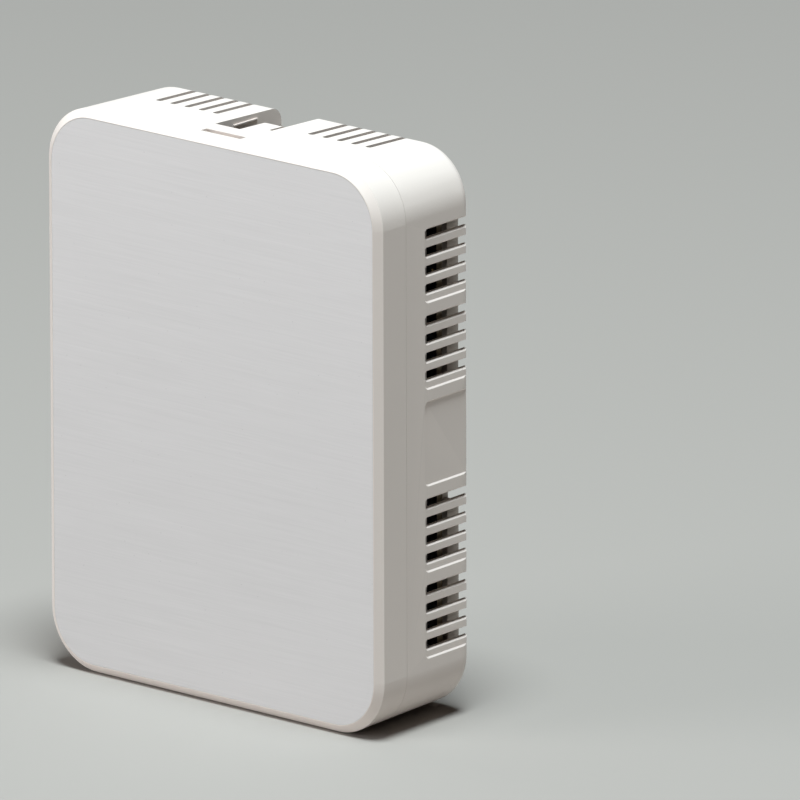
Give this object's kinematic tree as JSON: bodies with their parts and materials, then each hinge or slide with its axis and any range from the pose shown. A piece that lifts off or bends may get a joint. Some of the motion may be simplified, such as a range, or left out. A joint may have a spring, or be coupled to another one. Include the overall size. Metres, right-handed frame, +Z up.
{
  "type": "wall-mounted air quality monitor",
  "caption": "White wall-mounted air quality monitor with a brushed front panel, vented sides and top, a wall plate and sensor boards inside.",
  "frame": {"origin": "centre of the wall plate's back, midway between the two wall box screw slots", "axes": "+Y into the wall, +Z up, +X to the right for someone who faces the monitor"},
  "size_m": [0.0864, 0.029, 0.115],
  "materials": {
    "shell_plastic": "fine spark-eroded texture, near white",
    "plate_plastic": "plain moulded, off white",
    "brushed_panel": "brushed along X, clear coated",
    "adhesive_film": "translucent film",
    "board_black": "black solder mask",
    "board_blue": "blue solder mask",
    "screw_steel": "zinc plated",
    "tinned_metal": "tinned",
    "capacitor_can": "bare can",
    "inductor_grey": "moulded iron powder",
    "led_clear": "diffuse epoxy",
    "foam": "closed cell foam",
    "shield_metal": "tin plated sheet",
    "fan_black": "glass filled nylon",
    "laser_brass": "turned brass",
    "connector_white": "natural nylon",
    "gold_pins": "gold flash",
    "gold_chamber": "gold plated",
    "membrane_white": "porous membrane",
    "steel_mesh": "woven wire",
    "terminal_green": "moulded polyamide",
    "dip_blue": "moulded",
    "slider_white": "moulded",
    "button_black": "moulded",
    "chip_black": "epoxy"
  },
  "bodies": {
    "wall_plate": {"wall_plate": "plate_plastic"},
    "housing": {"housing": "shell_plastic", "main_board": "board_black", "board_screws": "screw_steel", "chip_leads": "tinned_metal", "capacitors": "capacitor_can", "inductor": "inductor_grey", "power_led": "led_clear", "dust_sensor_pad": "foam", "dust_sensor_case": "shield_metal", "dust_sensor_lid": "shield_metal", "fan_motor": "fan_black", "laser_module": "laser_brass", "detector_board": "board_blue", "dust_sensor_connector": "connector_white", "gas_sensor_board": "board_blue", "gas_sensor_pins": "gold_pins", "gas_sensor_chamber": "gold_chamber", "gas_sensor_filter": "membrane_white", "vapour_sensor": "shield_metal", "vapour_sensor_mesh": "steel_mesh", "climate_sensor_board": "board_blue", "climate_sensor_pins": "gold_pins", "climate_sensor": "connector_white", "terminal_header": "terminal_green", "terminal_pins": "tinned_metal", "dip_switch_body": "dip_blue", "reset_button_body": "chip_black", "microcontroller": "chip_black", "bus_transceiver": "chip_black", "voltage_regulator": "chip_black"},
    "front_cover": {"front_cover": "shell_plastic", "front_panel": "brushed_panel", "panel_adhesive": "adhesive_film"},
    "latch": {"latch_tongue": "shell_plastic"},
    "fan_rotor": {"fan_rotor": "fan_black"},
    "terminal_plug": {"terminal_plug": "terminal_green", "wire_clamps": "tinned_metal"},
    "reset_button": {"reset_button": "button_black"},
    "terminal_screw_1": {"terminal_screw_1": "screw_steel"},
    "dip_slider_1": {"dip_slider_1": "slider_white"},
    "terminal_screw_2": {"terminal_screw_2": "screw_steel"},
    "dip_slider_2": {"dip_slider_2": "slider_white"},
    "terminal_screw_3": {"terminal_screw_3": "screw_steel"},
    "dip_slider_3": {"dip_slider_3": "slider_white"},
    "terminal_screw_4": {"terminal_screw_4": "screw_steel"},
    "dip_slider_4": {"dip_slider_4": "slider_white"}
  },
  "joints": [
    {"name": "housing_pull_off", "type": "slide", "parent": "wall_plate", "child": "housing", "axis": [0, -1, 0], "range_m": [0, 0.03]},
    {"name": "cover_pull_off", "type": "slide", "parent": "housing", "child": "front_cover", "axis": [0, -1, 0], "range_m": [0, 0.03]},
    {"name": "latch_lift", "type": "hinge", "parent": "housing", "child": "latch", "pos_m": [0.00205, -0.01645, 0.05634], "axis": [1, 0, 0], "range_deg": [0, 8], "stiffness_Nm_per_rad": 0.02},
    {"name": "fan_spin", "type": "hinge", "parent": "housing", "child": "fan_rotor", "pos_m": [-0.02488, -0.012, 0.03158], "axis": [0, -1, 0], "continuous": true},
    {"name": "plug_pull_out", "type": "slide", "parent": "housing", "child": "terminal_plug", "axis": [0, 0, 1], "range_m": [0, 0.008]},
    {"name": "reset_button_press", "type": "slide", "parent": "housing", "child": "reset_button", "axis": [0, 1, 0], "range_m": [0, 0.0003], "stiffness_N_per_m": 500},
    {"name": "terminal_screw_1_turn", "type": "hinge", "parent": "terminal_plug", "child": "terminal_screw_1", "pos_m": [-0.00571, -0.017, -0.0162], "axis": [0, -1, 0], "range_deg": [0, 720]},
    {"name": "terminal_screw_2_turn", "type": "hinge", "parent": "terminal_plug", "child": "terminal_screw_2", "pos_m": [-0.00191, -0.017, -0.0162], "axis": [0, -1, 0], "range_deg": [0, 720]},
    {"name": "terminal_screw_3_turn", "type": "hinge", "parent": "terminal_plug", "child": "terminal_screw_3", "pos_m": [0.00191, -0.017, -0.0162], "axis": [0, -1, 0], "range_deg": [0, 720]},
    {"name": "terminal_screw_4_turn", "type": "hinge", "parent": "terminal_plug", "child": "terminal_screw_4", "pos_m": [0.00571, -0.017, -0.0162], "axis": [0, -1, 0], "range_deg": [0, 720]},
    {"name": "dip_slider_1_slide", "type": "slide", "parent": "housing", "child": "dip_slider_1", "axis": [1, 0, 0], "range_m": [0, 0.002]},
    {"name": "dip_slider_2_slide", "type": "slide", "parent": "housing", "child": "dip_slider_2", "axis": [1, 0, 0], "range_m": [0, 0.002]},
    {"name": "dip_slider_3_slide", "type": "slide", "parent": "housing", "child": "dip_slider_3", "axis": [1, 0, 0], "range_m": [0, 0.002]},
    {"name": "dip_slider_4_slide", "type": "slide", "parent": "housing", "child": "dip_slider_4", "axis": [1, 0, 0], "range_m": [0, 0.002]}
  ]
}
